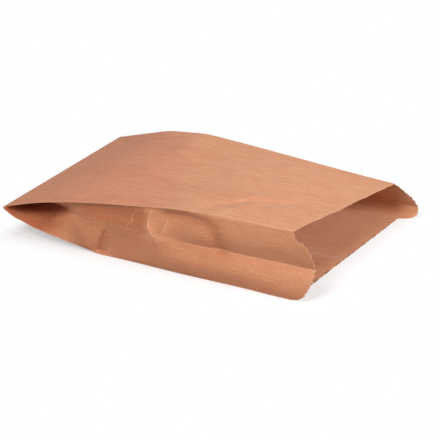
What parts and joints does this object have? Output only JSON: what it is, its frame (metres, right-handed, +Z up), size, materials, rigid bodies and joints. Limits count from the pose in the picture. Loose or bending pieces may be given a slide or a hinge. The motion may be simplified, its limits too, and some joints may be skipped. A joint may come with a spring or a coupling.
{
  "type": "mailer envelope",
  "caption": "Open gusseted kraft paper mailer envelope lying on its side panel, with a folded and glued end and a saw-tooth cut mouth.",
  "frame": {"origin": "centre of the bounding box, on the surface the envelope lies on", "axes": "+X along the bag from the closed end towards the mouth, +Y from the tall open side to the lower side, +Z up"},
  "size_m": [0.4906, 0.3458, 0.0946],
  "materials": {
    "kraft_paper": "matte brown kraft paper, faint lengthwise streaks"
  },
  "bodies": {
    "root": {"mailer_envelope": "kraft_paper"}
  },
  "joints": []
}
